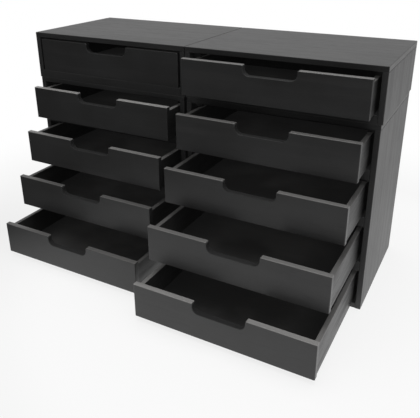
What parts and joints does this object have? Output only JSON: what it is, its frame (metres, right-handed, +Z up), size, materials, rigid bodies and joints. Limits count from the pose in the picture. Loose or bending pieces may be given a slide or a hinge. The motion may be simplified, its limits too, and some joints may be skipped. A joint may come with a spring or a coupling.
{
  "type": "craft storage drawers",
  "caption": "Black wooden drawer unit in side-by-side stacked cases, with shallow sliding drawers whose fronts have a finger cut-out in the top edge",
  "frame": {"origin": "on the ground, at the centre of the outline with the drawers as shown", "axes": "+X to the right along the row of columns, +Y to the back, +Z up; the drawers pull out along -Y"},
  "size_m": [0.7012, 0.45, 0.432],
  "materials": {
    "case_wood": "satin black paint over fine grain",
    "drawer_wood": "satin black paint over fine grain",
    "thin_panel": "satin black paint over thin board",
    "runner_wood": "black stain, waxed by use",
    "dowel_wood": "bare beech",
    "brad_steel": "plain"
  },
  "bodies": {
    "cases": {"back_brads": "brad_steel", "case_dowels": "dowel_wood", "left_kickers": "runner_wood", "left_lower_back_panel": "thin_panel", "left_lower_bottom_board": "case_wood", "left_lower_front_rails": "case_wood", "left_lower_left_side": "case_wood", "left_lower_right_side": "case_wood", "left_lower_top_board": "case_wood", "left_shelf_panels": "thin_panel", "left_side_guides": "runner_wood", "left_upper_back_panel": "thin_panel", "left_upper_front_rail": "case_wood", "left_upper_left_side": "case_wood", "left_upper_right_side": "case_wood", "left_upper_top_board": "case_wood", "right_kickers": "runner_wood", "right_lower_back_panel": "thin_panel", "right_lower_bottom_board": "case_wood", "right_lower_front_rails": "case_wood", "right_lower_left_side": "case_wood", "right_lower_right_side": "case_wood", "right_lower_top_board": "case_wood", "right_shelf_panels": "thin_panel", "right_side_guides": "runner_wood", "right_upper_back_panel": "thin_panel", "right_upper_front_rail": "case_wood", "right_upper_left_side": "case_wood", "right_upper_right_side": "case_wood", "right_upper_top_board": "case_wood"},
    "left_drawer_1": {"left_drawer_1_front": "drawer_wood", "left_drawer_1_walls": "drawer_wood", "left_drawer_1_floor": "thin_panel"},
    "left_drawer_2": {"left_drawer_2_front": "drawer_wood", "left_drawer_2_walls": "drawer_wood", "left_drawer_2_floor": "thin_panel"},
    "left_drawer_3": {"left_drawer_3_front": "drawer_wood", "left_drawer_3_walls": "drawer_wood", "left_drawer_3_floor": "thin_panel"},
    "left_drawer_4": {"left_drawer_4_front": "drawer_wood", "left_drawer_4_walls": "drawer_wood", "left_drawer_4_floor": "thin_panel"},
    "left_drawer_5": {"left_drawer_5_front": "drawer_wood", "left_drawer_5_walls": "drawer_wood", "left_drawer_5_floor": "thin_panel"},
    "right_drawer_1": {"right_drawer_1_front": "drawer_wood", "right_drawer_1_walls": "drawer_wood", "right_drawer_1_floor": "thin_panel"},
    "right_drawer_2": {"right_drawer_2_front": "drawer_wood", "right_drawer_2_walls": "drawer_wood", "right_drawer_2_floor": "thin_panel"},
    "right_drawer_3": {"right_drawer_3_front": "drawer_wood", "right_drawer_3_walls": "drawer_wood", "right_drawer_3_floor": "thin_panel"},
    "right_drawer_4": {"right_drawer_4_front": "drawer_wood", "right_drawer_4_walls": "drawer_wood", "right_drawer_4_floor": "thin_panel"},
    "right_drawer_5": {"right_drawer_5_front": "drawer_wood", "right_drawer_5_walls": "drawer_wood", "right_drawer_5_floor": "thin_panel"}
  },
  "joints": [
    {"name": "left_drawer_1_slide", "type": "slide", "parent": "cases", "child": "left_drawer_1", "axis": [0, -1, 0], "range_m": [0, 0.215]},
    {"name": "left_drawer_2_slide", "type": "slide", "parent": "cases", "child": "left_drawer_2", "axis": [0, -1, 0], "range_m": [-0.037, 0.178]},
    {"name": "left_drawer_3_slide", "type": "slide", "parent": "cases", "child": "left_drawer_3", "axis": [0, -1, 0], "range_m": [-0.07, 0.145]},
    {"name": "left_drawer_4_slide", "type": "slide", "parent": "cases", "child": "left_drawer_4", "axis": [0, -1, 0], "range_m": [-0.106, 0.109]},
    {"name": "left_drawer_5_slide", "type": "slide", "parent": "cases", "child": "left_drawer_5", "axis": [0, -1, 0], "range_m": [-0.158, 0.057]},
    {"name": "right_drawer_1_slide", "type": "slide", "parent": "cases", "child": "right_drawer_1", "axis": [0, -1, 0], "range_m": [-0.036, 0.179]},
    {"name": "right_drawer_2_slide", "type": "slide", "parent": "cases", "child": "right_drawer_2", "axis": [0, -1, 0], "range_m": [-0.062, 0.153]},
    {"name": "right_drawer_3_slide", "type": "slide", "parent": "cases", "child": "right_drawer_3", "axis": [0, -1, 0], "range_m": [-0.104, 0.111]},
    {"name": "right_drawer_4_slide", "type": "slide", "parent": "cases", "child": "right_drawer_4", "axis": [0, -1, 0], "range_m": [-0.161, 0.054]},
    {"name": "right_drawer_5_slide", "type": "slide", "parent": "cases", "child": "right_drawer_5", "axis": [0, -1, 0], "range_m": [-0.209, 0.006]}
  ]
}
